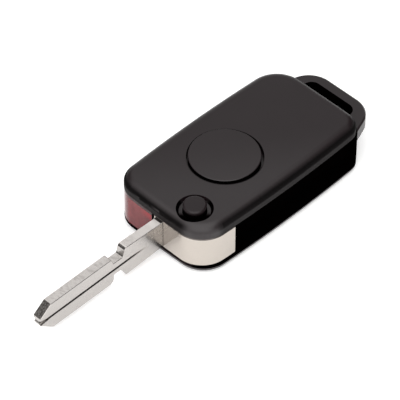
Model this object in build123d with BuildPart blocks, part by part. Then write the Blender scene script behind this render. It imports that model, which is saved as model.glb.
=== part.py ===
from build123d import *
from math import radians, tan
import os

# Flip key fob shell with its blade out. Sizes are in millimetres.
# The origin is the flip pivot's axis on the resting plane. X runs along the body to the
# key-ring loop, the blade points to -X when it is out, and Z is up.

# Body, seen from above
body_front = -6.35
body_rear = 55.65
pivot_to_side = 9.45
body_width = 34.1
side_bow = 0.95
front_bow = 0.5
rear_bow = 0.15
front_right_radius = 8.3
front_left_radius = 6.1
rear_right_radius = 5.2
rear_left_radius = 9.0
sill_reach = 0.45
sill_corner = 5.0

# Body, seen from the side
body_height = 16.7
cover_height = 4.25
channel_floor = 1.75
window_sill = 2.2
bay_floor = 2.9
bottom_edge_radius = 1.7
top_edge_radius = 2.6
wall = 1.5
cover_plate = 1.6
seam_gap = 0.05
lip_depth = 1.0
lip_width = 0.8
lip_gap = 0.1
lip_start = 27.0

# Flip pivot
hub_radius = 4.75
hub_bore = 3.75
bearing_clearance = 0.06
hub_foot = 1.1
hub_recess_gap = 0.1
hub_top = 13.1
boss_radius = 6.1
pivot_plate = 1.2
head_half_length = 6.2
head_gap = 0.2
floor_gap = 0.65
head_edge = 0.35
head_rim = 0.25
turn_clearance = 0.5
partition = 1.2
stop_reach = 5.5
stop_half_angle = 15.0
stop_play = 1.5

# Key blade, standing on edge; distances out are measured from the body's front, and heights
# as steps from the head's top and bottom
blade_thickness = 2.7
blade_right = 5.65
root_step_top = 0.55
root_step_bottom = 0.25
shoulder_step_top = 0.2
shoulder_step_bottom = -0.5
outer_step_top = 1.0
outer_step_bottom = -0.15
blade_tip_drop = 0.3
blade_length = 43.7
nose_step_top = 4.3
nose_step_bottom = 3.0
tip_facet = 3.8
tip_lead = 4.3
upper_notch_out = 13.6
upper_notch_end = 18.5
upper_notch_step = 2.9
lower_notch_out = 13.3
lower_notch_end = 17.9
lower_notch_step = 2.7
notch_slope = 0.7
lead_radius = 1.9
shoulder_radius = 1.1
notch_radius = 0.6
groove_root_step = 0.1
groove_nose_step = 0.95
groove_width = 0.8
groove_depth = 0.6
groove_start = 5.0
groove_run_in = 9.5
groove_flare = 3.0
blade_chamfer = 0.1
tang_length = 5.4
tang_step = 0.75
tang_shoulder = 0.6
tang_clearance = 0.05
root_recess = 0.9
root_gap_top = 0.25
root_gap_side = 0.12
pin_radius = 0.8
pin_behind_front = 3.1
pin_inset = 0.25
pin_length = 4.4

# Side channel for the folded blade
channel_wall_gap = 0.45
channel_end = 53.4

# Release button and its spring
release_radius = 3.2
release_clearance = 0.14
release_proud = 1.65
release_travel = 1.6
release_edge = 0.45
skirt_radius = 3.65
skirt_height = 2.4
stem_radius = 2.2
stem_length = 4.0
bowl_radius = 4.95
bowl_depth = 1.0
bowl_ledge = 0.25
bowl_rise = 0.15
bowl_lean = 0.4
lug_reach = 4.3
lug_width = 1.8
lug_height = 1.5
lug_clearance = 0.1
lug_play = 0.1
spring_radius = 3.0
spring_wire = 0.35
spring_turns = 4
spring_end_gap = 0.03
cup_radius = 3.5
cup_thickness = 1.1
cup_post_radius = 1.3
cup_post_height = 3.2

# Command button and its rubber pad
disc_x = 19.25
disc_offset = 0.3
disc_radius = 10.0
disc_gap = 0.4
disc_proud = 0.3
disc_edge = 0.15
disc_plate = 1.5
disc_post_radius = 2.0
flange_width = 1.1
flange_thickness = 0.95
flange_play = 0.15
pad_gap = 0.25
pad_thickness = 0.8
pad_ring_gap = 0.4
pad_ring_width = 1.0
pad_nub_radius = 1.6
pad_nub_length = 1.0
collar_gap = 0.1
collar_width = 1.0
collar_depth = 1.5

# Red window around the front left corner
window_depth = 1.7
window_end_x = 4.0

# Key-ring loop
loop_reach = 9.35
loop_top = 10.5
loop_thickness = 4.2
loop_corner_radius = 7.6
loop_corner_offset = 5.35
loop_offset = 0.25
loop_inset_left = 1.1
loop_inset_right = 0.1
loop_edge = 0.4
loop_root_radius = 7.0
slot_width = 5.5
slot_left_reach = 9.1
slot_right_reach = 8.0
slot_bar = 3.1

# Cell lid on the underside
lid_front = 17.0
lid_width = 23.6
lid_thickness = 1.35
lid_inset = 0.1
lid_gap = 0.12
lid_bevel = 0.6
groove_count = 5
grip_pitch = 1.7
grip_width = 0.8
grip_length = 10.0
grip_depth = 0.4
grip_x = 47.0

# Cell pocket, board tray and contacts
cell_x = 32.0
cell_radius = 10.0
cell_gap = 0.3
pocket_wall = 1.0
carrier_bottom = 6.6
carrier_plate = 1.0
carrier_gap = 0.3
leg_width = 2.2
leg_front_x = 15.4
leg_rear_x = 45.0
leg_inset_left = 5.6
leg_inset_right = 2.4
peg_radius = 0.8
peg_height = 1.6
front_peg_x = 13.6
front_peg_offset = 5.2
rear_peg_x = 48.6
rear_peg_offset = 0.4
contact_thickness = 0.3
contact_width = 4.0
contact_slot_gap = 0.2
leaf_tail_x = -7.5
leaf_bend_x = -1.0
leaf_low_x = 6.0
leaf_end_x = 7.4
leaf_drop = 0.75
strip_half_angle = 30.0
strip_foot = 0.4

# Screws that hold the two shells together
front_screw_x = 8.4
front_screw_inset = 4.95
rear_screw_x = 49.6
rear_screw_inset = 7.45
side_screw_x = 50.4
side_screw_inset = 3.0
post_radius = 2.5
screw_radius = 0.9
screw_play = 0.05
screw_hole_play = 0.1
screw_head_radius = 1.75
screw_head_play = 0.2
screw_head_height = 1.2
screw_seat = 3.6
screw_tip_cover = 2.1
screw_tip_room = 0.3
cross_width = 0.5
cross_length = 2.0
cross_depth = 0.6

os.makedirs("parts", exist_ok=True)

parting_height = body_height - cover_height
body_mid_x = (body_front + body_rear) / 2
half_width = body_width / 2
body_mid_y = half_width - pivot_to_side
body_left = body_mid_y + half_width
disc_y = body_mid_y + disc_offset
loop_mid_y = body_mid_y + loop_offset
end_half_width = half_width - side_bow
far = 4 * body_width
cover_ceiling = body_height - cover_plate
bearing_radius = hub_radius + bearing_clearance
head_bottom = channel_floor + floor_gap
head_top = parting_height - head_gap
hub_recess = hub_foot - hub_recess_gap
head_middle = (head_top + head_bottom) / 2
head_front = -head_half_length
pin_outer_y = end_half_width - body_mid_y - pin_inset
blade_root_top = head_top - root_step_top
blade_root_bottom = head_bottom + root_step_bottom
blade_shoulder_top = head_top - shoulder_step_top
blade_shoulder_bottom = head_bottom + shoulder_step_bottom
blade_outer_top = head_top - outer_step_top
blade_outer_bottom = head_bottom + outer_step_bottom
upper_notch_floor = head_top - upper_notch_step
lower_notch_floor = head_bottom + lower_notch_step
nose_top = head_top - nose_step_top
nose_bottom = head_bottom + nose_step_bottom
groove_root_height = head_middle - groove_root_step
groove_nose_height = head_middle - groove_nose_step
blade_left = blade_right + blade_thickness
channel_wall = -(blade_right - channel_wall_gap)
bay_right = channel_wall + partition
lock_ceiling = body_height - bowl_depth - pivot_plate
skirt_top = lock_ceiling - lug_play
skirt_bottom = skirt_top - skirt_height
slot_foot = skirt_top - lug_height - release_travel - lug_play
cup_top = hub_recess + cup_thickness
flange_radius = disc_radius + flange_width
flange_top = cover_ceiling - flange_play
flange_bottom = flange_top - flange_thickness
disc_top = body_height + disc_proud
pad_top = flange_bottom - pad_gap
pad_bottom = pad_top - pad_thickness
pad_ring_inner = flange_radius + pad_ring_gap
pad_radius = pad_ring_inner + pad_ring_width
collar_inner = pad_radius + collar_gap
lid_top = lid_inset + lid_thickness
cell_room = cell_radius + cell_gap
cell_y = bay_right + carrier_gap + pocket_wall + cell_room
screw_length = body_height - screw_tip_cover - screw_seat
screw_places = [
    (front_screw_x, body_left - front_screw_inset),
    (rear_screw_x, body_left - rear_screw_inset),
    (side_screw_x, bay_right + side_screw_inset),
]
leg_places = [
    (x, y)
    for x in (leg_front_x, leg_rear_x)
    for y in (body_left - leg_inset_left, bay_right + leg_inset_right)
]
peg_places = [
    (front_peg_x, body_mid_y + front_peg_offset),
    (rear_peg_x, body_mid_y + rear_peg_offset),
]


def at_disc():
    """The command button's axis."""
    return Locations((disc_x, disc_y))


def at_cell():
    """The cell pocket's axis."""
    return Locations((cell_x, cell_y))


def rims(part, highest):
    """The edges round a part's highest or lowest face."""
    return part.faces().sort_by(Axis.Z)[-1 if highest else 0].edges()


def out(distance):
    """The X of a point that lies a distance out from the body's front."""
    return body_front - distance


def bow_radius(chord, bow):
    """The radius of an arc that stands out by the bow over the chord."""
    return (chord * chord / 4 + bow * bow) / (2 * bow)


def shell_plan(inset, sill=0.0, rear_corner=rear_right_radius):
    """The body's plan, moved inwards all round by the inset: four bowed sides, rounded corners.

    The sill moves the right side outwards.
    """
    side_radius = bow_radius(body_rear - rear_bow - body_front - front_bow, side_bow)
    front_radius = bow_radius(2 * end_half_width, front_bow)
    rear_radius = bow_radius(2 * end_half_width, rear_bow)
    with BuildSketch() as plan:
        with Locations((body_mid_x, body_mid_y - half_width + side_radius - sill)):
            Circle(side_radius - inset)
        with Locations((body_mid_x, body_mid_y + half_width - side_radius)):
            Circle(side_radius - inset, mode=Mode.INTERSECT)
        with Locations((body_front + front_radius, body_mid_y)):
            Circle(front_radius - inset, mode=Mode.INTERSECT)
        with Locations((body_rear - rear_radius, body_mid_y)):
            Circle(rear_radius - inset, mode=Mode.INTERSECT)
        for corner, radius in (
            ((body_front, body_mid_y - end_half_width - sill), front_right_radius),
            ((body_front, body_mid_y + end_half_width), front_left_radius),
            ((body_rear, body_mid_y - end_half_width - sill), rear_corner),
            ((body_rear, body_mid_y + end_half_width), rear_left_radius),
        ):
            fillet(plan.vertices().sort_by_distance(corner)[0], radius - inset)
    return plan.sketch


def window_plan(gap):
    """The red window's plan, a gap smaller all round than its place in the base."""
    with BuildSketch() as plan:
        add(shell_plan(gap))
        add(shell_plan(window_depth - gap), mode=Mode.SUBTRACT)
        Circle(cavity_radius + seam_gap + gap, mode=Mode.SUBTRACT)
        with Locations((window_end_x - gap - far / 2, far / 2)):
            Rectangle(far, far, mode=Mode.INTERSECT)
    return plan.sketch


def room_plan(inset, pivot_radius):
    """The room inside the walls, clear of the side channel and of a round around the pivot."""
    with BuildSketch() as plan:
        add(shell_plan(wall + inset))
        with Locations((body_mid_x, bay_right + inset - far / 2)):
            Rectangle(far, far, mode=Mode.SUBTRACT)
        Circle(pivot_radius + inset, mode=Mode.SUBTRACT)
    return plan.sketch


# Plan of the head: what the body's plan and the same plan turned half a round both cover
body_plan = shell_plan(0)
with BuildSketch() as head_plan:
    add(body_plan)
    add(body_plan, rotation=180, mode=Mode.INTERSECT)
    Rectangle(2 * head_half_length, far, mode=Mode.INTERSECT)

head_reach = max(vertex.distance_to((0, 0, 0)) for vertex in head_plan.vertices())
cavity_radius = head_reach + turn_clearance
bay_round = cavity_radius + partition

# Plan of the cover's lip, which locates it in the base's bay
with BuildSketch() as lip_plan:
    add(room_plan(lip_gap, bay_round))
    add(room_plan(lip_gap + lip_width, bay_round), mode=Mode.SUBTRACT)
    with Locations(*screw_places):
        Circle(post_radius + lip_gap, mode=Mode.SUBTRACT)
    Circle(lip_start, mode=Mode.SUBTRACT)

# Key-ring loop, seen from above: its sides run on from the body's rear corners
loop_end = body_rear + loop_reach
slot_mid_y = body_mid_y + (slot_left_reach - slot_right_reach) / 2
root_x = body_rear - rear_bow - loop_root_radius
root_half_width = end_half_width - loop_root_radius
loop_foot = loop_top - loop_thickness
with BuildPart() as loop:
    with BuildSketch(Plane.XY.offset(loop_foot)):
        with Locations((root_x, body_mid_y - root_half_width)):
            Circle(loop_root_radius - loop_inset_right)
        with Locations((root_x, body_mid_y + root_half_width)):
            Circle(loop_root_radius - loop_inset_left)
        with Locations(
            (loop_end - loop_corner_radius, loop_mid_y - loop_corner_offset),
            (loop_end - loop_corner_radius, loop_mid_y + loop_corner_offset),
        ):
            Circle(loop_corner_radius)
        make_hull()
    extrude(amount=loop_thickness)
    chamfer(rims(loop, True) + rims(loop, False), loop_edge)
    with BuildSketch(Plane.XY.offset(loop_foot)):
        with Locations((loop_end - slot_bar - slot_width / 2, slot_mid_y)):
            SlotOverall(slot_left_reach + slot_right_reach, slot_width, rotation=90)
    extrude(amount=loop_thickness, mode=Mode.SUBTRACT)
    split(bisect_by=Plane.YZ.offset(channel_end), keep=Keep.TOP)

# Section of the sliding lid, seen along X: its sides lean in towards the outside
lid_lean = lid_bevel / lid_thickness
lid_half = lid_width / 2
lid_half_low = lid_half - lid_lean * 2 * lid_top
with BuildSketch() as lid_section:
    Polygon(
        (cell_y - lid_half, lid_top),
        (cell_y + lid_half, lid_top),
        (cell_y + lid_half_low, -lid_top),
        (cell_y - lid_half_low, -lid_top),
        align=None,
    )

# Sector in which the head's stop lug runs
stop_spread = far * tan(radians(90 - stop_half_angle - stop_play))

# Base shell: floor, walls, side channel, board bay, pivot seat and key-ring loop
with BuildPart() as base_shell:
    with BuildSketch():
        add(shell_plan(0, sill_reach, sill_corner))
    extrude(amount=parting_height)
    fillet(rims(base_shell, False), bottom_edge_radius)
    with BuildSketch(Plane.XY.offset(channel_floor)):
        Circle(cavity_radius)
        with Locations((channel_end / 2, channel_wall - far / 2)):
            Rectangle(channel_end, far)
    extrude(amount=parting_height, mode=Mode.SUBTRACT)
    with BuildSketch(Plane.XY.offset(window_sill)):
        add(window_plan(0))
    extrude(amount=parting_height, mode=Mode.SUBTRACT)
    add(loop.part)
    with BuildSketch(Plane.XY.offset(bay_floor)):
        add(room_plan(0, bay_round))
    extrude(amount=parting_height, mode=Mode.SUBTRACT)
    with BuildSketch(Plane.XY.offset(bay_floor)):
        with Locations(*screw_places):
            Circle(post_radius)
    extrude(amount=parting_height - bay_floor)
    with BuildSketch(Plane.XY.offset(hub_recess)):
        Circle(bearing_radius)
    extrude(amount=channel_floor, mode=Mode.SUBTRACT)
    with BuildSketch(Plane.XY.offset(hub_recess)):
        Circle(stop_reach + bearing_clearance)
        Polygon((0, 0), (-far, stop_spread), (-far, -stop_spread), align=None, mode=Mode.SUBTRACT)
    extrude(amount=channel_floor, mode=Mode.SUBTRACT)
    with BuildSketch(Plane.YZ.offset(lid_front - lid_gap)):
        offset(lid_section.sketch, amount=lid_gap, kind=Kind.INTERSECTION)
    extrude(amount=far, mode=Mode.SUBTRACT)
    with BuildSketch():
        with at_cell():
            Circle(cell_room)
        with Locations(*screw_places):
            Circle(screw_radius + screw_hole_play)
    extrude(amount=bay_floor, mode=Mode.SUBTRACT)
    with BuildSketch():
        with Locations(*screw_places):
            Circle(screw_radius + screw_hole_play)
    extrude(amount=parting_height, mode=Mode.SUBTRACT)
    with BuildSketch():
        with Locations(*screw_places):
            Circle(screw_head_radius + screw_head_play)
    extrude(amount=screw_seat, mode=Mode.SUBTRACT)

# Top cover: rounded lid with the disc opening, the dished recess and the pivot boss
with BuildPart() as top_cover:
    with BuildSketch(Plane.XY.offset(parting_height)):
        add(body_plan)
    extrude(amount=body_height - parting_height)
    fillet(rims(top_cover, True), top_edge_radius)
    with BuildSketch(Plane.XY.offset(parting_height)):
        add(room_plan(0, boss_radius))
    extrude(amount=cover_ceiling - parting_height, mode=Mode.SUBTRACT)
    with BuildSketch(Plane.XY.offset(parting_height)):
        with at_disc():
            Circle(collar_inner)
    extrude(amount=cover_ceiling - parting_height, mode=Mode.SUBTRACT)
    with BuildSketch(Plane.XY.offset(cover_ceiling - collar_depth)):
        with at_disc():
            Circle(collar_inner + collar_width)
            Circle(collar_inner, mode=Mode.SUBTRACT)
    extrude(amount=collar_depth)
    with BuildSketch(Plane.XY.offset(parting_height)):
        with Locations(*screw_places):
            Circle(post_radius)
    extrude(amount=cover_plate + cover_ceiling - parting_height - top_edge_radius / 2)
    with BuildSketch(Plane.XY.offset(parting_height - lip_depth)):
        add(lip_plan.sketch)
    extrude(amount=lip_depth)
    with BuildSketch(Plane.XY.offset(parting_height)):
        add(room_plan(0, bay_round))
        add(room_plan(lip_gap + lip_width, bay_round), mode=Mode.SUBTRACT)
        Circle(lip_start, mode=Mode.SUBTRACT)
    extrude(amount=lip_depth)
    with BuildSketch(Plane.XY.offset(parting_height)):
        with at_disc():
            Circle(disc_radius + disc_gap)
    extrude(amount=body_height, mode=Mode.SUBTRACT)
    with BuildSketch(Plane.XY.offset(parting_height)):
        Circle(bearing_radius)
    extrude(amount=lock_ceiling - parting_height, mode=Mode.SUBTRACT)
    with BuildSketch(Plane.XY.offset(parting_height)):
        Circle(release_radius + release_clearance)
    extrude(amount=body_height, mode=Mode.SUBTRACT)
    with BuildSketch(Plane.XZ):
        bowl_foot = release_radius + release_clearance + bowl_ledge
        bowl_low = body_height - bowl_depth
        Polygon(
            (0, bowl_low),
            (bowl_foot, bowl_low),
            (bowl_radius - bowl_lean, bowl_low + bowl_rise),
            (bowl_radius, body_height),
            (bowl_radius, far),
            (0, far),
            align=None,
        )
    revolve(axis=Axis.Z, mode=Mode.SUBTRACT)
    with BuildSketch(Plane.XY.offset(parting_height)):
        with Locations(*screw_places):
            Circle(screw_radius + screw_play)
    extrude(amount=screw_seat + screw_length + screw_tip_room - parting_height, mode=Mode.SUBTRACT)

# Red window that also closes the bay at the corner
with BuildPart() as infrared_window:
    with BuildSketch(Plane.XY.offset(window_sill)):
        add(window_plan(seam_gap))
    extrude(amount=parting_height - seam_gap - window_sill)

# Swivel head: block between base and cover with a hub above and below
with BuildPart() as swivel_head:
    with BuildSketch(Plane.XY.offset(head_bottom)):
        add(head_plan.sketch)
    extrude(amount=head_top - head_bottom)
    corners = swivel_head.edges().filter_by(Axis.Z).sort_by(lambda edge: edge.center().X * edge.center().Y)
    fillet(corners[:2], head_edge)
    chamfer(rims(swivel_head, True) + rims(swivel_head, False), head_rim)
    with BuildSketch(Plane.XY.offset(hub_foot)):
        Circle(hub_radius)
    extrude(amount=hub_top - hub_foot)
    with BuildSketch(Plane.XY.offset(hub_foot)):
        Circle(stop_reach)
        spread = far * tan(radians(stop_half_angle))
        Polygon((0, 0), (-spread, -far), (spread, -far), align=None, mode=Mode.INTERSECT)
    extrude(amount=head_bottom - hub_foot)
    with BuildSketch(Plane.XY.offset(hub_foot)):
        Circle(hub_bore)
    extrude(amount=hub_top, mode=Mode.SUBTRACT)
    with BuildSketch(Plane.XY.offset(slot_foot)):
        Rectangle(2 * (lug_reach + lug_clearance), lug_width + 2 * lug_clearance)
    extrude(amount=hub_top, mode=Mode.SUBTRACT)
    with BuildSketch(Plane.YZ.offset(head_front)):
        with Locations(((blade_right + blade_left) / 2, 0)):
            Polygon(
                (-blade_thickness / 2 - root_gap_side, blade_root_bottom - tang_clearance),
                (blade_thickness / 2 + root_gap_side, blade_root_bottom - tang_clearance),
                (blade_thickness / 2 + root_gap_side, blade_root_top + root_gap_top),
                (-blade_thickness / 2 - root_gap_side, blade_root_top + root_gap_top),
                align=None,
            )
    extrude(amount=root_recess, mode=Mode.SUBTRACT)
    with BuildSketch(Plane.YZ.offset(head_front)):
        Polygon(
            (blade_right - tang_clearance, blade_root_bottom + tang_shoulder - tang_clearance),
            (blade_left - tang_step + tang_clearance, blade_root_bottom + tang_shoulder - tang_clearance),
            (blade_left - tang_step + tang_clearance, blade_root_top - tang_shoulder + tang_clearance),
            (blade_right - tang_clearance, blade_root_top - tang_shoulder + tang_clearance),
            align=None,
        )
    extrude(amount=tang_length, mode=Mode.SUBTRACT)
    with BuildSketch(Plane.XZ.offset(-far)):
        with Locations((head_front + pin_behind_front, head_middle)):
            Circle(pin_radius + tang_clearance)
    extrude(amount=far - (pin_outer_y - pin_length), mode=Mode.SUBTRACT)

# Outline of the key blade, seen from the side
with BuildSketch() as blade_outline:
    Polygon(
        (head_front + root_recess, blade_root_bottom),
        (out(lower_notch_out), blade_shoulder_bottom),
        (out(lower_notch_out + notch_slope), lower_notch_floor),
        (out(lower_notch_end - notch_slope / 2), lower_notch_floor),
        (out(lower_notch_end), blade_outer_bottom),
        (out(blade_length - tip_lead), blade_outer_bottom - blade_tip_drop),
        (out(blade_length), nose_bottom),
        (out(blade_length), nose_top),
        (out(blade_length - tip_facet), blade_outer_top - blade_tip_drop),
        (out(upper_notch_end), blade_outer_top),
        (out(upper_notch_end - notch_slope), upper_notch_floor),
        (out(upper_notch_out + notch_slope), upper_notch_floor),
        (out(upper_notch_out), blade_shoulder_top),
        (head_front + root_recess, blade_root_top),
        align=None,
    )
    for corner, radius in (
        ((out(lower_notch_end), blade_outer_bottom), lead_radius),
        ((out(lower_notch_end - notch_slope / 2), lower_notch_floor), notch_radius / 2),
        ((out(lower_notch_out + notch_slope), lower_notch_floor), notch_radius),
        ((out(lower_notch_out), blade_shoulder_bottom), notch_radius / 2),
        ((out(upper_notch_out + notch_slope), upper_notch_floor), notch_radius),
        ((out(upper_notch_out), blade_shoulder_top), shoulder_radius),
        ((out(upper_notch_end), blade_outer_top), notch_radius / 2),
        ((out(blade_length), nose_bottom), notch_radius),
    ):
        fillet(blade_outline.vertices().sort_by_distance(corner)[0], radius)

# What the cutter takes out of the blade's right side: a groove that runs in slowly from the
# root and flares at the tip
groove_floor = blade_right + groove_depth
with BuildPart() as groove:
    with BuildSketch(Plane.XZ.offset(-groove_floor)):
        with BuildLine():
            Polyline(
                (out(groove_start), groove_root_height),
                (out(blade_length + groove_width), groove_nose_height),
            )
        trace(line_width=groove_width)
        Polygon(
            (out(blade_length - groove_flare), groove_nose_height + groove_width / 2),
            (out(blade_length - groove_flare), groove_nose_height - groove_width / 2),
            (out(blade_length), groove_nose_height - groove_width),
            (out(blade_length), groove_nose_height + groove_width),
            align=None,
        )
    extrude(amount=2 * groove_depth)
    with BuildSketch():
        Polygon(
            (out(groove_start), blade_right),
            (out(groove_start + groove_run_in), groove_floor),
            (-far, groove_floor),
            (-far, 0),
            (out(groove_start), 0),
            align=None,
        )
    extrude(amount=far, mode=Mode.INTERSECT)

# Key blade: outline, bevelled edges, side grooves and tang
with BuildPart() as key_blade:
    with BuildSketch(Plane.XZ.offset(-blade_left)):
        add(blade_outline.sketch)
    extrude(amount=blade_thickness)
    side_faces = key_blade.faces().filter_by(Axis.Y)
    chamfer(side_faces.edges(), blade_chamfer)
    add(groove.part, mode=Mode.SUBTRACT)
    mirror(groove.part, about=Plane.XZ.offset(-(blade_right + blade_left) / 2), mode=Mode.SUBTRACT)
    with BuildSketch(Plane.YZ.offset(head_front + root_recess)):
        Polygon(
            (blade_right, blade_root_bottom + tang_shoulder),
            (blade_left - tang_step, blade_root_bottom + tang_shoulder),
            (blade_left - tang_step, blade_root_top - tang_shoulder),
            (blade_right, blade_root_top - tang_shoulder),
            align=None,
        )
    extrude(amount=tang_length - root_recess - tang_clearance)
    with BuildSketch(Plane.XZ.offset(-far)):
        with Locations((head_front + pin_behind_front, head_middle)):
            Circle(pin_radius + tang_clearance)
    extrude(amount=far, mode=Mode.SUBTRACT)

# Cross pin that holds the blade in the head
with BuildPart() as blade_pin:
    with BuildSketch(Plane.XZ.offset(-pin_outer_y)):
        with Locations((head_front + pin_behind_front, head_middle)):
            Circle(pin_radius)
    extrude(amount=pin_length)

# Release button: cap, skirt, two lugs and the stem inside the coil
with BuildPart() as release_button:
    with BuildSketch(Plane.XY.offset(skirt_bottom)):
        Circle(release_radius)
    extrude(amount=body_height + release_proud - skirt_bottom)
    chamfer(rims(release_button, True), release_edge)
    with BuildSketch(Plane.XY.offset(skirt_bottom)):
        Circle(skirt_radius)
    extrude(amount=skirt_height)
    with BuildSketch(Plane.XY.offset(skirt_top - lug_height)):
        Circle(lug_reach)
        Rectangle(far, lug_width, mode=Mode.INTERSECT)
    extrude(amount=lug_height)
    with BuildSketch(Plane.XY.offset(skirt_bottom - stem_length)):
        Circle(stem_radius)
    extrude(amount=stem_length)

# Coil under the release button
coil_foot = cup_top + spring_wire + spring_end_gap
coil_height = skirt_bottom - spring_wire - spring_end_gap - coil_foot
with BuildPart() as flip_spring:
    with BuildLine():
        coil = Helix(coil_height / spring_turns, coil_height, spring_radius, center=(0, 0, coil_foot))
    with BuildSketch(Plane(origin=coil @ 0, z_dir=coil % 0)):
        Rectangle(2 * spring_wire, 2 * spring_wire)
    sweep(path=coil, is_frenet=True)

# Fixed foot of the coil
with BuildPart() as spring_cup:
    with BuildSketch(Plane.XY.offset(hub_recess)):
        Circle(cup_radius)
    extrude(amount=cup_thickness)
    with BuildSketch(Plane.XY.offset(cup_top)):
        Circle(cup_post_radius)
    extrude(amount=cup_post_height)

# Command button: shallow cup with a flange that stays under the cover
with BuildPart() as command_button:
    with BuildSketch(Plane.XY.offset(flange_bottom)):
        with at_disc():
            Circle(disc_radius)
    extrude(amount=disc_top - flange_bottom)
    chamfer(rims(command_button, True), disc_edge)
    with BuildSketch(Plane.XY.offset(flange_bottom)):
        with at_disc():
            Circle(flange_radius)
    extrude(amount=flange_thickness)
    with BuildSketch(Plane.XY.offset(flange_bottom)):
        with at_disc():
            Circle(disc_radius - disc_plate)
            Circle(disc_post_radius, mode=Mode.SUBTRACT)
    extrude(amount=disc_top - disc_plate - flange_bottom, mode=Mode.SUBTRACT)

# Rubber pad: membrane with a rim against the cover and a nub for the switch
with BuildPart() as button_pad:
    with BuildSketch(Plane.XY.offset(pad_bottom)):
        with at_disc():
            Circle(pad_radius)
    extrude(amount=pad_thickness)
    with BuildSketch(Plane.XY.offset(pad_bottom)):
        with at_disc():
            Circle(pad_radius)
            Circle(pad_ring_inner, mode=Mode.SUBTRACT)
    extrude(amount=cover_ceiling - pad_bottom)
    with BuildSketch(Plane.XY.offset(pad_bottom)):
        with at_disc():
            Circle(pad_nub_radius)
    extrude(amount=-pad_nub_length, taper=8)

# Board carrier: plate with the cell pocket's wall, legs and pegs
with BuildPart() as board_carrier:
    with BuildSketch(Plane.XY.offset(carrier_bottom)):
        add(room_plan(carrier_gap, bay_round))
        with Locations(*screw_places):
            Circle(post_radius + carrier_gap, mode=Mode.SUBTRACT)
    extrude(amount=carrier_plate)
    with BuildSketch(Plane.XY.offset(bay_floor)):
        with at_cell():
            Circle(cell_room + pocket_wall)
        with Locations(*leg_places):
            Rectangle(leg_width, leg_width)
    extrude(amount=carrier_bottom - bay_floor)
    with BuildSketch(Plane.XY.offset(bay_floor)):
        with at_cell():
            Circle(cell_room)
    extrude(amount=carrier_bottom - bay_floor, mode=Mode.SUBTRACT)
    with BuildSketch(Plane.XY.offset(carrier_bottom + carrier_plate)):
        with Locations(*peg_places):
            Circle(peg_radius)
    extrude(amount=peg_height)
    with BuildSketch(Plane.XY.offset(carrier_bottom)):
        with Locations((cell_x + leaf_tail_x, cell_y)):
            Rectangle(contact_thickness + 2 * contact_slot_gap, contact_width + 2 * contact_slot_gap)
    extrude(amount=carrier_plate, mode=Mode.SUBTRACT)

# Leaf contact on the pocket's ceiling
leaf_level = carrier_bottom - contact_thickness / 2
with BuildPart() as negative_contact:
    with BuildSketch(Plane.XZ.offset(-cell_y - contact_width / 2)):
        with BuildLine():
            Polyline(
                (cell_x + leaf_tail_x, carrier_bottom + carrier_plate - contact_thickness),
                (cell_x + leaf_tail_x, leaf_level),
                (cell_x + leaf_bend_x, leaf_level),
                (cell_x + leaf_low_x, leaf_level - leaf_drop + contact_thickness / 2),
                (cell_x + leaf_end_x, leaf_level - leaf_drop / 3),
            )
        trace(line_width=contact_thickness)
    extrude(amount=contact_width)

# Strip contact on the pocket's wall
strip_outer = cell_room - tang_clearance
with BuildPart() as positive_contact:
    with BuildSketch(Plane.XY.offset(bay_floor + strip_foot)):
        with at_cell():
            Circle(strip_outer)
            Circle(strip_outer - contact_thickness, mode=Mode.SUBTRACT)
        with Locations((cell_x, cell_y)):
            strip_spread = far * tan(radians(strip_half_angle))
            Polygon((0, 0), (strip_spread, far), (-strip_spread, far), align=None, mode=Mode.INTERSECT)
    extrude(amount=carrier_bottom - bay_floor - strip_foot)

# Sliding lid with finger grooves
with BuildPart() as battery_lid:
    with BuildSketch(Plane.XY.offset(lid_inset)):
        add(body_plan)
    extrude(amount=parting_height)
    fillet(rims(battery_lid, False), bottom_edge_radius)
    with BuildSketch(Plane.YZ.offset(lid_front)):
        add(lid_section.sketch)
    extrude(amount=far, mode=Mode.INTERSECT)
    with BuildSketch(Plane.XY.offset(lid_inset)):
        with Locations((grip_x, cell_y)):
            with GridLocations(grip_pitch, 0, groove_count, 1):
                Rectangle(grip_width, grip_length)
    extrude(amount=grip_depth, mode=Mode.SUBTRACT)


def case_screw(place):
    """A screw from below with a flat head and a cross recess, standing in its counterbore."""
    head_foot = screw_seat - screw_head_height
    with BuildPart() as screw:
        with BuildSketch(Plane.XY.offset(head_foot)):
            with Locations(place):
                Circle(screw_head_radius)
        extrude(amount=screw_head_height)
        with BuildSketch(Plane.XY.offset(screw_seat)):
            with Locations(place):
                Circle(screw_radius)
        extrude(amount=screw_length)
        with BuildSketch(Plane.XY.offset(head_foot)):
            with Locations(place):
                Rectangle(cross_length, cross_width)
                Rectangle(cross_width, cross_length)
        extrude(amount=cross_depth, mode=Mode.SUBTRACT)
    return screw


front_screw, rear_screw, side_screw = (case_screw(place) for place in screw_places)

base_shell.part.label = "base_shell"
export_step(base_shell.part, "parts/base_shell.step")
top_cover.part.label = "top_cover"
export_step(top_cover.part, "parts/top_cover.step")
infrared_window.part.label = "infrared_window"
export_step(infrared_window.part, "parts/infrared_window.step")
swivel_head.part.label = "swivel_head"
export_step(swivel_head.part, "parts/swivel_head.step")
key_blade.part.label = "key_blade"
export_step(key_blade.part, "parts/key_blade.step")
blade_pin.part.label = "blade_pin"
export_step(blade_pin.part, "parts/blade_pin.step")
release_button.part.label = "release_button"
export_step(release_button.part, "parts/release_button.step")
flip_spring.part.label = "flip_spring"
export_step(flip_spring.part, "parts/flip_spring.step")
spring_cup.part.label = "spring_cup"
export_step(spring_cup.part, "parts/spring_cup.step")
command_button.part.label = "command_button"
export_step(command_button.part, "parts/command_button.step")
button_pad.part.label = "button_pad"
export_step(button_pad.part, "parts/button_pad.step")
board_carrier.part.label = "board_carrier"
export_step(board_carrier.part, "parts/board_carrier.step")
negative_contact.part.label = "negative_contact"
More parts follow.
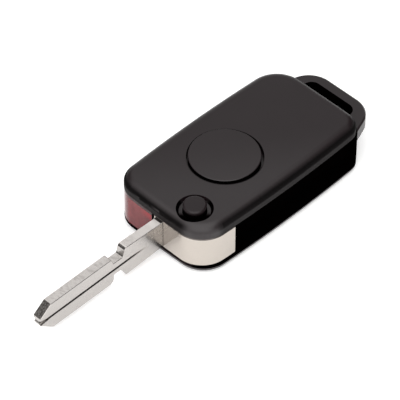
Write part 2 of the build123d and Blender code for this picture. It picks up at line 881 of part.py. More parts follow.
export_step(negative_contact.part, "parts/negative_contact.step")
positive_contact.part.label = "positive_contact"
export_step(positive_contact.part, "parts/positive_contact.step")
battery_lid.part.label = "battery_lid"
export_step(battery_lid.part, "parts/battery_lid.step")
front_screw.part.label = "front_screw"
export_step(front_screw.part, "parts/front_screw.step")
rear_screw.part.label = "rear_screw"
export_step(rear_screw.part, "parts/rear_screw.step")
side_screw.part.label = "side_screw"
export_step(side_screw.part, "parts/side_screw.step")
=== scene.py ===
import bpy
import math
import numpy as np
from mathutils import Matrix, Vector


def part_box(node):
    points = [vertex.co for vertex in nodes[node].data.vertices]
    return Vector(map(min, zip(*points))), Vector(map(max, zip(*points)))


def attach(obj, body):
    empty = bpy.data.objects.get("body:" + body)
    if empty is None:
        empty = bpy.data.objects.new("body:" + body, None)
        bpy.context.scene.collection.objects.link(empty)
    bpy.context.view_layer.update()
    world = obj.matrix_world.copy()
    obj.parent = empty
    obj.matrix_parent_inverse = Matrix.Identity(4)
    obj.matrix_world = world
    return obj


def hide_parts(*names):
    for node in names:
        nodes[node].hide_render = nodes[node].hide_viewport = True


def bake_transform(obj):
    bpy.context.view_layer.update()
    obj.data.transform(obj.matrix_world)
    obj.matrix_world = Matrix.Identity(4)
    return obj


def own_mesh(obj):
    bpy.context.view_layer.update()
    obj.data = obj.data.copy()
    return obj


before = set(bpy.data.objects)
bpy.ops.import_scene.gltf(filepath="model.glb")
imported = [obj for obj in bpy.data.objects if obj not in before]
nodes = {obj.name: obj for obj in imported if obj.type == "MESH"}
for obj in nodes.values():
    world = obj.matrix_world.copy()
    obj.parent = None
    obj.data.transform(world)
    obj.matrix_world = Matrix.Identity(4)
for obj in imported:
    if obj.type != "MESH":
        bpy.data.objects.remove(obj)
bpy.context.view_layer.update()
mm = 0.001

# Camera: where the photograph was taken from, fitted to the body's edges
PHOTO_WIDTH = 400
FOCAL_PIXELS = 3080.36
SENSOR_WIDTH = 36.0
NEAREST_SEEN = 0.01
CAMERA_AZIMUTH = math.radians(-45.02)
CAMERA_ELEVATION = math.radians(45.69)
CAMERA_ROLL = math.radians(0.078)
CAMERA_DISTANCE = 828.4 * mm
LOOK_AT = Vector((14.60 * mm, 12.67 * mm, 0))


def place_camera():
    """A camera on the line that runs back from the look-at point at the azimuth and elevation."""
    sine, cosine = math.sin(CAMERA_AZIMUTH), math.cos(CAMERA_AZIMUTH)
    level, rise = math.cos(CAMERA_ELEVATION), math.sin(CAMERA_ELEVATION)
    back = Vector((sine * level, -cosine * level, rise))
    right = Vector((cosine, sine, 0))
    turn = Matrix((right, back.cross(right), back)).transposed() @ Matrix.Rotation(CAMERA_ROLL, 3, "Z")
    camera = bpy.data.objects.new("camera", bpy.data.cameras.new("camera"))
    camera.data.sensor_width = SENSOR_WIDTH
    camera.data.lens = FOCAL_PIXELS / PHOTO_WIDTH * SENSOR_WIDTH
    camera.data.clip_start = NEAREST_SEEN
    camera.matrix_world = Matrix.Translation(LOOK_AT + back * CAMERA_DISTANCE) @ turn.to_4x4()
    bpy.context.scene.collection.objects.link(camera)
    bpy.context.scene.camera = camera


place_camera()


# Node building

class Nodes:
    """A small helper that adds shader nodes and joins their sockets."""

    def __init__(self, tree):
        self.tree = tree
        tree.nodes.clear()

    def add(self, kind, inputs=(), **settings):
        """A node of that kind with its settings. An input is a number, a colour or another node's output."""
        node = self.tree.nodes.new(kind)
        for name, value in settings.items():
            setattr(node, name, value)
        self.fill(node, dict(inputs))
        return node

    def fill(self, node, inputs):
        """Puts a value or an output into each of the named inputs of a node."""
        for name, value in inputs.items():
            self.put(node.inputs[name], value)

    def put(self, socket, value):
        """Sets a socket's own value, or links an output to it."""
        if isinstance(value, bpy.types.NodeSocket):
            self.tree.links.new(value, socket)
        elif isinstance(value, tuple) and socket.type == "RGBA":
            socket.default_value = (*value, 1)
        else:
            socket.default_value = value

    def math(self, operation, first, second=0.0, third=0.0):
        """One step of arithmetic on two or three numbers."""
        node = self.tree.nodes.new("ShaderNodeMath")
        node.operation = operation
        for socket, value in zip(node.inputs, (first, second, third)):
            self.put(socket, value)
        return node.outputs[0]

    def dot(self, vector, direction):
        """How far a vector reaches along a direction."""
        node = self.tree.nodes.new("ShaderNodeVectorMath")
        node.operation = "DOT_PRODUCT"
        self.put(node.inputs[0], vector)
        node.inputs[1].default_value = direction
        return node.outputs["Value"]

    def times(self, *values):
        """The product of several numbers."""
        product = values[0]
        for value in values[1:]:
            product = self.math("MULTIPLY", product, value)
        return product

    def toward(self, share, first, second):
        """A number that goes from the first to the second as the share goes from 0 to 1."""
        return self.math("MULTIPLY_ADD", share, self.math("SUBTRACT", second, first), first)

    def radius(self, where):
        """How far a place is from the upright axis through the origin."""
        level = self.add("ShaderNodeVectorMath", {0: where, 1: (1, 1, 0)}, operation="MULTIPLY")
        length = self.add("ShaderNodeVectorMath", {0: level.outputs[0]}, operation="LENGTH")
        return length.outputs["Value"]

    def ramp(self, value, low, high, to_low=0.0, to_high=1.0):
        """A smooth step that goes from one number to another as the value goes from low to high."""
        node = self.add(
            "ShaderNodeMapRange",
            {"Value": value, "From Min": low, "From Max": high, "To Min": to_low, "To Max": to_high},
            interpolation_type="SMOOTHSTEP",
        )
        return node.outputs["Result"]

    def ramp_mm(self, distance, low, high):
        """A smooth step from 0 to 1 as a distance goes from low to high in millimetres."""
        return self.ramp(distance, low * mm, high * mm)

    def blend(self, share, first, second):
        """A colour between two colours."""
        node = self.tree.nodes.new("ShaderNodeMix")
        node.data_type = "RGBA"
        self.put(node.inputs["Factor"], share)
        self.put(node.inputs[6], first)
        self.put(node.inputs[7], second)
        return node.outputs[2]

    def noise(self, where, size, detail=2.0, stretch=(1, 1, 1)):
        """Cloudy noise whose features are about that size in metres, longer where the stretch is larger."""
        scaled = self.add("ShaderNodeMapping", {"Vector": where, "Scale": tuple(1 / s for s in stretch)})
        node = self.add(
            "ShaderNodeTexNoise", {"Vector": scaled.outputs[0], "Scale": 1 / size, "Detail": detail}
        )
        return node.outputs["Fac"]

    def bump(self, height, distance, strength=1.0, below=None):
        """A normal tipped by a height pattern that is that distance deep in metres."""
        node = self.add("ShaderNodeBump", {"Height": height, "Distance": distance, "Strength": strength})
        if below is not None:
            self.put(node.inputs["Normal"], below)
        return node.outputs["Normal"]


def new_finish(name):
    """An empty material with a Principled shader: its nodes, the shader and the piece's own coordinates."""
    finish = bpy.data.materials.new(name)
    finish.use_nodes = True
    maker = Nodes(finish.node_tree)
    shader = maker.add("ShaderNodeBsdfPrincipled")
    maker.add("ShaderNodeOutputMaterial", {"Surface": shader.outputs[0]})
    coordinates = maker.add("ShaderNodeTexCoord")
    return finish, maker, shader, coordinates


# Light: a soft strip tent that runs from behind the camera over the fob, dark to both sides

TENT_SIDE = (math.cos(CAMERA_AZIMUTH), math.sin(CAMERA_AZIMUTH), 0)
TENT_FRONT = (math.sin(CAMERA_AZIMUTH), -math.cos(CAMERA_AZIMUTH), 0)
TENT_CLOTH = (1.0, 0.995, 0.99)
BACK_WIDTH = 0.36
FRONT_WIDTH = 0.80
BACK_LIGHT = 0.85
FRONT_LIGHT = 2.15
SIDE_LIGHT = 0.1


def light_tent():
    """World light by direction: a bright strip, wider to the left, and wider and brighter to the front."""
    world = bpy.data.worlds.new("light_tent")
    world.use_nodes = True
    bpy.context.scene.world = world
    maker = Nodes(world.node_tree)
    direction = maker.add("ShaderNodeTexCoord").outputs["Generated"]
    front = maker.dot(direction, TENT_FRONT)
    width = maker.ramp(front, -0.65, -0.15, BACK_WIDTH, FRONT_WIDTH)
    across = maker.math("DIVIDE", maker.dot(direction, TENT_SIDE), width)
    strip = maker.times(maker.ramp(across, 1.0, 0.45), maker.ramp(across, -1.35, -0.6))
    along = maker.ramp(front, -0.85, 0.35, BACK_LIGHT, FRONT_LIGHT)
    strength = maker.math("MULTIPLY_ADD", strip, along, SIDE_LIGHT)
    background = maker.add("ShaderNodeBackground", {"Color": TENT_CLOTH, "Strength": strength})
    maker.add("ShaderNodeOutputWorld", {"Surface": background.outputs[0]})


light_tent()
bpy.context.scene.view_settings.view_transform = "Standard"

# Floor

FLOOR_HALF = 3.0
FLOOR_DROP = 0.02 * mm
FLOOR_GLOW = 0.25
FLOOR_CLOUD = 0.2
FLOOR_DARK = (0.92, 0.92, 0.92)
FLOOR_LIGHT = (0.94, 0.94, 0.94)


def pale_floor():
    """A flat square under the fob, lit a little from below as a product table is."""
    floor = bpy.data.meshes.new("floor")
    corners = FLOOR_HALF * np.array([(-1, -1, 0), (1, -1, 0), (1, 1, 0), (-1, 1, 0)]) - (0, 0, FLOOR_DROP)
    floor.from_pydata(corners.tolist(), [], [(0, 1, 2, 3)])
    piece = bpy.data.objects.new("floor", floor)
    bpy.context.scene.collection.objects.link(piece)
    finish, maker, shader, coordinates = new_finish("pale_floor")
    cloud = maker.noise(coordinates.outputs["Object"], FLOOR_CLOUD)
    maker.fill(shader, {
        "Base Color": maker.blend(cloud, FLOOR_DARK, FLOOR_LIGHT),
        "Roughness": 0.8,
        "Specular IOR Level": 0.1,
        "Emission Color": (1, 1, 1),
        "Emission Strength": FLOOR_GLOW,
    })
    floor.materials.append(finish)


pale_floor()


def box_mm(node):
    """A CAD node's lowest and highest corners in millimetres."""
    low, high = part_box(node)
    return np.array(low) / mm, np.array(high) / mm


# Directions on the fob: to the key-ring loop, away from the channel's side, up, and to its front right
# and rear left corners
ALONG = (1, 0, 0)
ACROSS = (0, 1, 0)
UPRIGHT = (0, 0, 1)
TO_CAMERA = (-0.7071, -0.7071, 0)
TO_REAR_LEFT = (1, 1.3, 0)

# Places: each gives the share from 0 to 1 that a point of the surface has in one part of a piece, from
# where the point is and its normal. A pair of limits runs from no share to a full one. Sizes are in
# millimetres.

DISH_RADIUS = 5.0
LEVEL_FACE = (0.6, 0.9)
GROOVE_DROP = 0.022
GROOVE_HEIGHT = 7.474
BLADE_MIDDLE = 7.0
NOSE_FACET = (-0.68, 0, 0.733)


def shaded_skirt(maker, where, normal):
    """Painted shade, darker and duller, on the cover's upright faces, but not on the near front corner,
    which catches the light, nor in the release button's dish.

    On the flanks it reaches a little higher up the rounded edge.
    """
    rise = maker.dot(normal, UPRIGHT)
    level = maker.math("SQRT", maker.math("MULTIPLY_ADD", rise, maker.math("MULTIPLY", rise, -1.0), 1.0))
    facing = maker.math("DIVIDE", maker.dot(normal, TO_CAMERA), level)
    aside = maker.math("DIVIDE", maker.dot(normal, TENT_SIDE), level)
    sides = maker.math("ADD", maker.ramp(aside, 0.2, 0.6), maker.ramp(aside, -0.72, -0.84))
    higher = maker.math("MULTIPLY_ADD", sides, -0.10, rise)
    upright = maker.times(maker.ramp(higher, 0.84, 0.45), maker.ramp(rise, 0.02, 0.2, 0.72, 1.0))
    off_corner = maker.ramp(facing, 0.93, 0.70)
    off_dish = maker.ramp_mm(maker.radius(where), DISH_RADIUS, DISH_RADIUS + 0.3)
    return maker.times(upright, off_corner, off_dish)


def shaded_near_rim(maker, where, normal):
    """Painted shade on the rounded near edge of the disc's opening."""
    low, high = box_mm("command_button")
    centre = ((low[0] + high[0]) / 2 * mm, (low[1] + high[1]) / 2 * mm, 0)
    away = maker.add("ShaderNodeVectorMath", {0: where, 1: centre}, operation="SUBTRACT").outputs[0]
    radius = maker.radius(away)
    on_rim = maker.ramp_mm(radius, 10.8, 10.4)
    near_side = maker.ramp(maker.math("DIVIDE", maker.dot(away, TO_CAMERA), radius), 0.0, 0.6)
    return maker.times(on_rim, near_side)


def shaded_dish(maker, where, normal):
    """Painted shade on the steep wall of the dish round the release button, and on the dish's ledge on the
    near side.
    """
    radius = maker.radius(where)
    near = maker.dot(where, TO_CAMERA)
    wall = maker.times(maker.ramp_mm(radius, 4.1, 4.35), maker.ramp_mm(near, -3.9, -2.4))
    near_ledge = maker.ramp_mm(near, 0.4, 2.0)
    inside_dish = maker.ramp_mm(radius, DISH_RADIUS + 0.02, DISH_RADIUS - 0.06)
    return maker.times(maker.math("MAXIMUM", wall, near_ledge), inside_dish)


def shaded_channel(maker, where, normal):
    """Painted shade inside the blade's channel, above its thin outer rim."""
    past_mouth = maker.ramp_mm(maker.dot(where, ACROSS), -3.9, -4.6)
    above_rim = maker.ramp_mm(maker.dot(where, UPRIGHT), 1.62, 1.72)
    before_end = maker.ramp_mm(maker.dot(where, ALONG), 56.0, 55.4)
    return maker.times(past_mouth, above_rim, before_end)


def shaded_slot(maker, where, normal):
    """Painted shade on the inner walls of the slot in the key-ring loop."""
    upright = maker.ramp(maker.dot(normal, UPRIGHT), 0.7, 0.4)
    along = maker.dot(where, ALONG)
    across = maker.dot(where, ACROSS)
    behind_shell = maker.times(maker.ramp_mm(along, 56.1, 56.3), maker.ramp_mm(along, 62.3, 62.1))
    between_ends = maker.times(maker.ramp_mm(across, -0.8, -0.6), maker.ramp_mm(across, 17.1, 16.9))
    return maker.times(upright, behind_shell, between_ends)


def shaded_sill(maker, where, normal):
    """Painted shade on the low sill under the window, not the underside."""
    not_underside = maker.ramp(maker.dot(normal, UPRIGHT), -0.95, -0.8)
    below_window = maker.ramp_mm(maker.dot(where, UPRIGHT), 2.5, 2.3)
    beside_head = maker.ramp_mm(maker.dot(where, ACROSS), 7.0, 8.5)
    at_front = maker.ramp_mm(maker.dot(where, ALONG), 5.0, 3.5)
    return maker.times(not_underside, below_window, beside_head, at_front)


def shaded_walls(low, high):
    """Painted shade on the upright walls of a button, full below the low height and none above the high one.
    """
    def share(maker, where, normal):
        upright = maker.ramp(maker.dot(normal, UPRIGHT), 0.75, 0.35)
        return maker.times(upright, maker.ramp_mm(maker.dot(where, UPRIGHT), high, low))
    return share


def under_cover(maker, where, normal):
    """The head's top rim, in the cover's shade."""
    return maker.ramp_mm(maker.dot(where, UPRIGHT), 11.93, 12.05)


def cut_edges(maker, where, normal):
    """The blade's milled top and bottom edges."""
    return maker.ramp(maker.math("ABSOLUTE", maker.dot(normal, UPRIGHT)), *LEVEL_FACE)


def cutter_marks(maker, where, normal):
    """Fine dark lines that the cutter left across the blade's top and bottom edges."""
    lines = maker.ramp(maker.noise(where, 0.42 * mm, stretch=(1, 3, 1)), 0.46, 0.62)
    return maker.times(lines, cut_edges(maker, where, normal))


def blade_top(first, last):
    """The blade's top edge, from no share at the first distance along the fob to a full one at the last."""
    def share(maker, where, normal):
        along = maker.ramp_mm(maker.dot(where, ALONG), first, last)
        return maker.times(along, maker.ramp(maker.dot(normal, UPRIGHT), *LEVEL_FACE))
    return share


# The blade's top edge near the head, with a painted highlight, its end in the cover's shade, and painted
# shade in the dark gap before the head
root_highlight = blade_top(-24.0, -9.0)
shaded_root = blade_top(-10.5, -8.5)
# Painted shade: a dark band where the head's recess throws its shadow on the blade
root_gap_shade = blade_top(-7.0, -6.75)


def groove_shade(maker, where, normal):
    """Painted shade within the groove, which drops a little towards the nose on both sides of the blade."""
    along = maker.dot(where, ALONG)
    middle = maker.math("MULTIPLY_ADD", along, GROOVE_DROP, GROOVE_HEIGHT * mm)
    off_line = maker.math("ABSOLUTE", maker.math("SUBTRACT", maker.dot(where, UPRIGHT), middle))
    off_plane = maker.math("ABSOLUTE", maker.math("SUBTRACT", maker.dot(where, ACROSS), BLADE_MIDDLE * mm))
    within_width = maker.ramp_mm(off_line, 0.46, 0.40)
    within_depth = maker.ramp_mm(off_plane, 1.30, 1.22)
    past_run_in = maker.ramp_mm(along, -13.5, -19.0)
    return maker.times(within_width, within_depth, past_run_in)


def shaded_sloped_cuts(maker, where, normal):
    """Painted shade on the blade's facets that slope towards the nose, mottled where the cutter left them
    coarse.
    """
    slope = maker.ramp(maker.dot(normal, NOSE_FACET), 0.90, 0.96)
    coarse = maker.ramp(maker.noise(where, 0.45 * mm, 3), 0.35, 0.62, 1.0, 0.8)
    return maker.times(slope, coarse)


# Finishes

# A place's roughness, shine and colour
# Duller, with a darker colour that is painted shade
DULL_SHADE = (0.72, 0.04, (0.0022, 0.0017, 0.0018))
# Near black, no shine: painted shade in recesses and on walls in shadow
BLACK_SHADE = (0.8, 0.0, (0.0006, 0.0004, 0.0004))


def satin_plastic(name, dark, light, roughness, grain=0.3, level=0.42, places=()):
    """Moulded plastic: two close tones in clouds, a fine spark-eroded grain and slightly uneven gloss.

    It shines less to the rear left, a painted falloff of the light towards the rear. Each place in the list
    has a roughness, shine and colour of its own.
    """
    finish, maker, shader, coordinates = new_finish(name)
    where = coordinates.outputs["Object"]
    cloud = maker.noise(where, 6 * mm, 4)
    tone = maker.blend(cloud, dark, light)
    handled = maker.noise(where, 11 * mm, 3)
    gloss = maker.ramp(handled, 0.3, 0.7, roughness - 0.03, roughness + 0.04)
    rearward = maker.dot(where, TO_REAR_LEFT)
    shine = maker.ramp(rearward, 5 * mm, 45 * mm, 1.05 * level, 0.68 * level)
    for place, (place_roughness, place_shine, place_colour) in places:
        share = place(maker, where, coordinates.outputs["Normal"])
        tone = maker.blend(share, tone, place_colour)
        gloss = maker.toward(share, gloss, place_roughness)
        shine = maker.toward(share, shine, place_shine)
    fine = maker.noise(where, 0.22 * mm)
    coarse = maker.noise(where, 0.9 * mm)
    skin = maker.math("MULTIPLY_ADD", coarse, 0.6, fine)
    maker.fill(shader, {
        "Base Color": tone,
        "Roughness": gloss,
        "Specular IOR Level": shine,
        "Normal": maker.bump(skin, 0.004 * mm, grain),
    })
    return finish


def milled_edges(maker, where, normal, below):
    """A normal tipped by the wavy ridges that a cutter leaves across the blade's top and bottom edges."""
    shifted = maker.add("ShaderNodeMapping", {"Vector": where, "Location": (0, 4 * mm, 0)}).outputs[0]
    arcs = maker.add(
        "ShaderNodeTexWave",
        {"Vector": shifted, "Scale": 220.0, "Distortion": 3.0, "Detail": 2.0, "Detail Scale": 3.0},
        wave_type="BANDS", bands_direction="X",
    )
    cut = maker.times(arcs.outputs["Fac"], cut_edges(maker, where, normal))
    return maker.bump(cut, 0.004 * mm, 0.6, below)


def nickel_plate(name, tint, roughness, stretch, polish, places=(), milled=False, matt=None):
    """Bright nickel: faint polishing lines, cloudy gloss and, where milled, ridges on the edges.

    Each place in the list has a tint and a roughness of its own, and the matt place scatters light.
    """
    finish, maker, shader, coordinates = new_finish(name)
    where = coordinates.outputs["Object"]
    normal = coordinates.outputs["Normal"]
    cloud = maker.noise(where, 5 * mm, 4)
    tone = maker.blend(cloud, tint, tuple(0.94 * c for c in tint))
    smudge = maker.noise(where, 3 * mm, 5)
    lines = maker.noise(where, 0.12 * mm, stretch=stretch)
    cloudy = maker.ramp(smudge, 0.35, 0.75, roughness, roughness + 0.07)
    gloss = maker.math("MULTIPLY_ADD", lines, 0.05, cloudy)
    for place, place_tint, place_roughness in places:
        share = place(maker, where, normal)
        tone = maker.blend(share, tone, place_tint)
        gloss = maker.toward(share, gloss, place_roughness)
    metallic = 1.0
    if matt:
        metallic = maker.math("MULTIPLY_ADD", matt(maker, where, normal), -0.75, 1.0)
    skin = maker.bump(lines, 0.0012 * mm, polish)
    if milled:
        skin = milled_edges(maker, where, normal, skin)
    maker.fill(shader, {"Base Color": tone, "Metallic": metallic, "Roughness": gloss, "Normal": skin})
    return finish


WINDOW_DARK = (0.125, 0.006, 0.010)
WINDOW_LIGHT = (0.18, 0.014, 0.018)
# A painted glow by the head
WINDOW_GLOW = (0.28, 0.006, 0.012)
# A painted pale sheen round the fob's corner
WINDOW_SHEEN = (0.26, 0.17, 0.175)
# Painted shade along the top edge, under the cover
WINDOW_EDGE_SHADE = (0.03, 0.002, 0.003)


def red_window():
    """Dark red see-through plastic: glossy and mottled, with a painted glow by the head and painted shade
    along its top edge.

    Its face round the fob's corner has a painted pale sheen.
    """
    finish, maker, shader, coordinates = new_finish("red_window")
    where = coordinates.outputs["Object"]
    low, high = box_mm("infrared_window")
    height = maker.dot(where, UPRIGHT)
    across = maker.dot(where, ACROSS)
    cloud = maker.noise(where, 2.5 * mm, 4)
    body = maker.blend(maker.ramp(cloud, 0.3, 0.7), WINDOW_DARK, WINDOW_LIGHT)
    by_head = maker.ramp_mm(across, low[1] + 5.5, low[1] + 1.0)
    upper = maker.ramp_mm(height, high[2] - 4.0, high[2] - 1.5)
    # Painted glow, brighter red by the head and higher up
    lit = maker.blend(maker.times(by_head, upper), body, WINDOW_GLOW)
    aside = maker.dot(coordinates.outputs["Normal"], TENT_SIDE)
    # Painted sheen where the face turns round the fob's corner
    pale = maker.blend(maker.ramp(aside, -0.86, -0.98, 0.0, 0.8), lit, WINDOW_SHEEN)
    # Painted shade along the top edge, under the cover
    edge = maker.ramp_mm(height, high[2] - 1.25, high[2] - 0.7)
    ripple = maker.noise(where, 1.4 * mm)
    maker.fill(shader, {
        "Base Color": maker.blend(edge, pale, WINDOW_EDGE_SHADE),
        "Roughness": 0.14,
        "IOR": 1.42,
        "Specular IOR Level": 0.33,
        "Transmission Weight": 0.1,
        "Normal": maker.bump(ripple, 0.01 * mm, 0.5),
    })
    return finish


def plain_metal(name, tint, roughness):
    """Drawn or turned metal with faint upright streaks."""
    finish, maker, shader, coordinates = new_finish(name)
    where = coordinates.outputs["Object"]
    cloud = maker.noise(where, 0.8 * mm, 4)
    streaks = maker.noise(where, 0.1 * mm, stretch=(1, 1, 12))
    maker.fill(shader, {
        "Base Color": maker.blend(cloud, tint, tuple(0.8 * c for c in tint)),
        "Metallic": 1.0,
        "Roughness": maker.ramp(cloud, 0.3, 0.7, roughness, roughness + 0.12),
        "Normal": maker.bump(streaks, 0.002 * mm, 0.5),
    })
    return finish


SHELL_DARK = (0.0064, 0.0027, 0.0036)
SHELL_LIGHT = (0.0086, 0.0041, 0.0052)
TRAY_DARK = (0.010, 0.010, 0.010)
TRAY_LIGHT = (0.016, 0.016, 0.016)
PAD_DARK = (0.020, 0.020, 0.022)
PAD_LIGHT = (0.030, 0.030, 0.032)

shell_finish = satin_plastic(
    "satin_shell", SHELL_DARK, SHELL_LIGHT, 0.34, level=0.46,
    places=[(shaded_skirt, DULL_SHADE), (shaded_near_rim, DULL_SHADE), (shaded_dish, BLACK_SHADE)],
)
base_finish = satin_plastic(
    "satin_base", SHELL_DARK, SHELL_LIGHT, 0.36, level=0.55,
    places=[(shaded_channel, BLACK_SHADE), (shaded_slot, BLACK_SHADE), (shaded_sill, BLACK_SHADE)],
)
disc_finish = satin_plastic(
    "satin_disc", SHELL_DARK, SHELL_LIGHT, 0.33, level=0.48,
    places=[(shaded_walls(17.08, 17.16), BLACK_SHADE)],
)
cap_finish = satin_plastic(
    "satin_cap", SHELL_DARK, SHELL_LIGHT, 0.33, level=0.28,
    places=[(shaded_walls(16.9, 17.85), BLACK_SHADE)],
)
lid_finish = satin_plastic("satin_lid", SHELL_DARK, SHELL_LIGHT, 0.38, level=0.55)
tray_finish = satin_plastic("tray_plastic", TRAY_DARK, TRAY_LIGHT, 0.5)
pad_finish = satin_plastic("pad_rubber", PAD_DARK, PAD_LIGHT, 0.7, grain=0.5, level=0.3)
head_finish = nickel_plate(
    "nickel_head", (0.518, 0.474, 0.430), 0.10, stretch=(30, 30, 1), polish=0.05,
    places=[(under_cover, (0.10, 0.09, 0.085), 0.3)],
)
blade_finish = nickel_plate(
    "nickel_blade", (0.468, 0.446, 0.429), 0.2, stretch=(60, 1, 1), polish=0.4,
    places=[
        (cut_edges, (0.58, 0.552, 0.532), 0.24),
        (cutter_marks, (0.45, 0.425, 0.408), 0.3),
        # painted highlight: a lighter tint on the top edge near the head
        (root_highlight, (0.68, 0.645, 0.62), 0.34),
        # painted shade in the groove
        (groove_shade, (0.13, 0.122, 0.115), 0.5),
        # painted shade on the sloped facets
        (shaded_sloped_cuts, (0.05, 0.046, 0.043), 0.35),
        # painted shade in the gap before the head
        (root_gap_shade, (0.012, 0.008, 0.007), 0.7),
    ],
    milled=True, matt=shaded_root,
)
screw_finish = plain_metal("screw_steel", (0.42, 0.42, 0.43), 0.3)
spring_finish = plain_metal("spring_steel", (0.36, 0.36, 0.38), 0.3)
contact_finish = plain_metal("plated_contact", (0.75, 0.62, 0.38), 0.22)

finishes = {
    "base_shell": base_finish,
    "top_cover": shell_finish,
    "battery_lid": lid_finish,
    "infrared_window": red_window(),
    "swivel_head": head_finish,
    "key_blade": blade_finish,
    "blade_pin": screw_finish,
    "release_button": cap_finish,
    "flip_spring": spring_finish,
    "spring_cup": tray_finish,
    "command_button": disc_finish,
    "button_pad": pad_finish,
    "board_carrier": tray_finish,
    "negative_contact": contact_finish,
    "positive_contact": contact_finish,
    "front_screw": screw_finish,
    "rear_screw": screw_finish,
    "side_screw": screw_finish,
}
for node, finish in finishes.items():
    nodes[node].material_slots[0].material = finish


# Turned and coiled pieces. Their sizes are in millimetres.

ROUND_STEPS = 8
TURN_STEPS = 144
TURNED_CREASE = 32
COIL_CREASE = 40


def rounded_profile(corners):
    """A line through corners given as (radius, height, rounding), with an arc of that radius at each."""
    corners = np.array(corners, float)
    points = [corners[0, :2]]
    for before, corner, after in zip(corners[:-2], corners[1:-1], corners[2:]):
        place, rounding = corner[:2], corner[2]
        if rounding == 0:
            points.append(place)
            continue
        way_in = (before[:2] - place) / np.linalg.norm(before[:2] - place)
        way_out = (after[:2] - place) / np.linalg.norm(after[:2] - place)
        half = math.acos(float(np.clip(way_in @ way_out, -1, 1))) / 2
        middle = (way_in + way_out) / np.linalg.norm(way_in + way_out)
        centre = place + middle * rounding / math.sin(half)
        start = place + way_in * rounding / math.tan(half) - centre
        end = place + way_out * rounding / math.tan(half) - centre
        share = np.linspace(0, 1, ROUND_STEPS + 1)[:, None]
        sweep = math.acos(float(np.clip(start @ end / rounding**2, -1, 1)))
        arc = (np.sin((1 - share) * sweep) * start + np.sin(share * sweep) * end) / math.sin(sweep)
        points.extend(centre + arc)
    points.append(corners[-1, :2])
    return np.array(points)


def ring_walls(rings, steps):
    """Four-sided faces between rings: each joins two neighbours to the same two points of the next ring."""
    ring = np.arange(rings - 1)[:, None] * steps
    here = np.arange(steps)[None, :]
    there = (here + 1) % steps
    walls = np.stack([ring + here, ring + steps + here, ring + steps + there, ring + there], -1)
    return walls.reshape(-1, 4).tolist()


def new_piece(name, points, faces, crease):
    """A smooth piece at the origin, with sharp edges where faces meet at more than the crease in degrees."""
    mesh = bpy.data.meshes.new(name)
    mesh.from_pydata(points.tolist(), [], faces)
    mesh.polygons.foreach_set("use_smooth", np.ones(len(mesh.polygons), bool))
    mesh.set_sharp_from_angle(angle=math.radians(crease))
    piece = bpy.data.objects.new(name, mesh)
    bpy.context.scene.collection.objects.link(piece)
    return piece


def turned_piece(name, corners, axis_x, axis_y, lug=None):
    """A closed surface: the point at (turn, step) is the axis plus the profile's radius, at its height.

    The profile runs from the axis at the top to the axis at the bottom. A lug is given as its reach, its
    lowest and highest heights and its width. Between these heights the radius grows to the reach where
    the turn lies within the width on both sides along X.
    """
    profile = rounded_profile(corners)
    turn = np.linspace(0, 2 * np.pi, TURN_STEPS, endpoint=False)
    radius = np.repeat(profile[1:-1, 0][:, None], TURN_STEPS, axis=1)
    height = np.repeat(profile[1:-1, 1][:, None], TURN_STEPS, axis=1)
    if lug:
        reach, low, high, width = lug
        within = np.abs(reach * np.sin(turn))[None, :] < width / 2
        radius = np.where((height > low) & (height < high) & within, reach, radius)
    rings = np.stack([axis_x + radius * np.cos(turn), axis_y + radius * np.sin(turn), height], -1)
    top = (axis_x, axis_y, profile[0, 1])
    bottom = (axis_x, axis_y, profile[-1, 1])
    points = np.concatenate([rings.reshape(-1, 3), [top, bottom]]) * mm
    top_point = len(rings) * TURN_STEPS
    last_ring = top_point - TURN_STEPS
    here = np.arange(TURN_STEPS)
    there = (here + 1) % TURN_STEPS
    lid = np.stack([np.full(TURN_STEPS, top_point), here, there], -1)
    foot = np.stack([np.full(TURN_STEPS, top_point + 1), last_ring + there, last_ring + here], -1)
    faces = ring_walls(len(rings), TURN_STEPS) + lid.tolist() + foot.tolist()
    return new_piece(name, points, faces, TURNED_CREASE)


# Command disc: a shallow cup with a rounded rim, its flange under the cover. As in the photograph,
# its top stands a little further out of the cover than the solid's, and it lies to the left in its opening.
FLANGE_REACH = 1.3
FLANGE_THICKNESS = 0.95
DISC_RAISE = 0.3
DISC_SHIFT_X = -0.1
DISC_SHIFT_Y = 0.12
DISC_PLATE = 1.5
DISC_WALL = 1.5
POST_RADIUS = 2.0

disc_low, disc_high = box_mm("command_button")
disc_x, disc_y = (disc_low[:2] + disc_high[:2]) / 2
flange = (disc_high[0] - disc_low[0]) / 2
disc_radius = flange - FLANGE_REACH
disc_top = disc_high[2] + DISC_RAISE
disc_ceiling = disc_high[2] - DISC_PLATE
disc_foot = disc_low[2]
command_disc = turned_piece("command_disc", [
    (0, disc_top, 0),
    (disc_radius, disc_top, 0.22),
    (disc_radius, disc_foot + FLANGE_THICKNESS, 0),
    (flange, disc_foot + FLANGE_THICKNESS, 0.1),
    (flange, disc_foot, 0.1),
    (disc_radius - DISC_WALL, disc_foot, 0.1),
    (disc_radius - DISC_WALL, disc_ceiling, 0.3),
    (POST_RADIUS, disc_ceiling, 0.2),
    (POST_RADIUS, disc_foot, 0.1),
    (0, disc_foot, 0),
], disc_x + DISC_SHIFT_X, disc_y + DISC_SHIFT_Y)
command_disc.data.materials.append(disc_finish)
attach(command_disc, "command")
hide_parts("command_button")

# Release button: a cap with a rounded rim on a skirt with two lugs and a stem. The skirt's top and foot
# and the lugs' foot are heights above the stem's foot, and the lugs begin and end within a short step.
CAP_RADIUS = 3.2
SKIRT_RADIUS = 3.65
STEM_RADIUS = 2.2
SKIRT_TOP = 6.4
SKIRT_FOOT = 4.0
LUG_FOOT = 4.9
LUG_STEP = 0.005
LUG_REACH = 4.3
LUG_WIDTH = 1.8

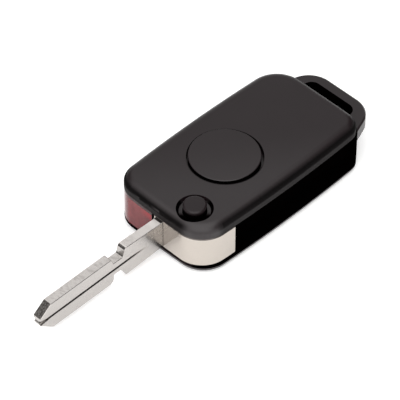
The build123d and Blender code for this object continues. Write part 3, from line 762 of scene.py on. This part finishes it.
button_low, button_high = box_mm("release_button")
cap_top = button_high[2]
stem_foot = button_low[2]
skirt_top = stem_foot + SKIRT_TOP
skirt_foot = stem_foot + SKIRT_FOOT
lug_foot = stem_foot + LUG_FOOT
release_cap = turned_piece("release_cap", [
    (0, cap_top, 0),
    (CAP_RADIUS, cap_top, 0.55),
    (CAP_RADIUS, skirt_top, 0),
    (SKIRT_RADIUS, skirt_top, 0.05),
    (SKIRT_RADIUS, skirt_top - LUG_STEP, 0),
    (SKIRT_RADIUS, lug_foot + LUG_STEP, 0),
    (SKIRT_RADIUS, lug_foot, 0),
    (SKIRT_RADIUS, skirt_foot, 0.1),
    (STEM_RADIUS, skirt_foot, 0.1),
    (STEM_RADIUS, stem_foot, 0.2),
    (0, stem_foot, 0),
], 0, 0, lug=(LUG_REACH, lug_foot + LUG_STEP / 2, skirt_top - LUG_STEP / 2, LUG_WIDTH))
release_cap.data.materials.append(cap_finish)
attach(release_cap, "release")
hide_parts("release_button")

# Rubber pad: a membrane on a rim that hangs from the cover, with a nub for the switch
PAD_RIM = 1.0
NUB_LENGTH = 1.0
MEMBRANE_THICKNESS = 0.8
NUB_ROOT_RADIUS = 1.6
NUB_TIP_RADIUS = 1.46

pad_low, pad_high = box_mm("button_pad")
pad_radius = (pad_high[0] - pad_low[0]) / 2
nub_tip = pad_low[2]
membrane_foot = nub_tip + NUB_LENGTH
membrane_top = membrane_foot + MEMBRANE_THICKNESS
ceiling = pad_high[2]
rubber_pad = turned_piece("rubber_pad", [
    (0, membrane_top, 0),
    (pad_radius - PAD_RIM, membrane_top, 0.25),
    (pad_radius - PAD_RIM, ceiling, 0.1),
    (pad_radius, ceiling, 0.1),
    (pad_radius, membrane_foot, 0.3),
    (NUB_ROOT_RADIUS, membrane_foot, 0.2),
    (NUB_TIP_RADIUS, nub_tip, 0.15),
    (0, nub_tip, 0),
], disc_x, disc_y)
rubber_pad.data.materials.append(pad_finish)
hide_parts("button_pad")
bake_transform(rubber_pad)

# Coil: a round wire carried along a helix, between its cup and the underside of the release button
COIL_TURNS = 4
STEPS_A_TURN = 48
WIRE_STEPS = 12
WIRE_RADIUS = 0.35


def coil_piece(name, radius, foot, height):
    """A closed tube: the point at (step, turn of the wire) is the helix's point plus the wire's radius.

    The radius turns between the way out from the axis and the way square to it and to the helix.
    """
    share = np.linspace(0, 1, COIL_TURNS * STEPS_A_TURN + 1)
    angle = 2 * np.pi * COIL_TURNS * share
    lead = height / (2 * np.pi * COIL_TURNS)
    level = np.zeros_like(angle)
    centre = np.stack([radius * np.cos(angle), radius * np.sin(angle), foot + height * share], -1)
    path = np.stack([-radius * np.sin(angle), radius * np.cos(angle), level + lead], -1)
    along = path / math.hypot(radius, lead)
    outward = np.stack([np.cos(angle), np.sin(angle), level], -1)
    square = np.cross(outward, along)
    around = np.linspace(0, 2 * np.pi, WIRE_STEPS, endpoint=False)[None, :, None]
    reach = np.cos(around) * outward[:, None] + np.sin(around) * square[:, None]
    points = (centre[:, None] + WIRE_RADIUS * reach).reshape(-1, 3) * mm
    ring = np.arange(WIRE_STEPS)
    first_end = ring.tolist()
    last_end = ((len(share) - 1) * WIRE_STEPS + ring[::-1]).tolist()
    return new_piece(name, points, ring_walls(len(share), WIRE_STEPS) + [first_end, last_end], COIL_CREASE)


coil_low, coil_high = box_mm("flip_spring")
coil_height = coil_high[2] - coil_low[2]
coil = coil_piece(
    "coil_spring", coil_high[0] - WIRE_RADIUS, coil_low[2] + WIRE_RADIUS, coil_height - 2 * WIRE_RADIUS
)
coil.data.materials.append(spring_finish)
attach(coil, "head")
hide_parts("flip_spring")
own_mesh(coil)
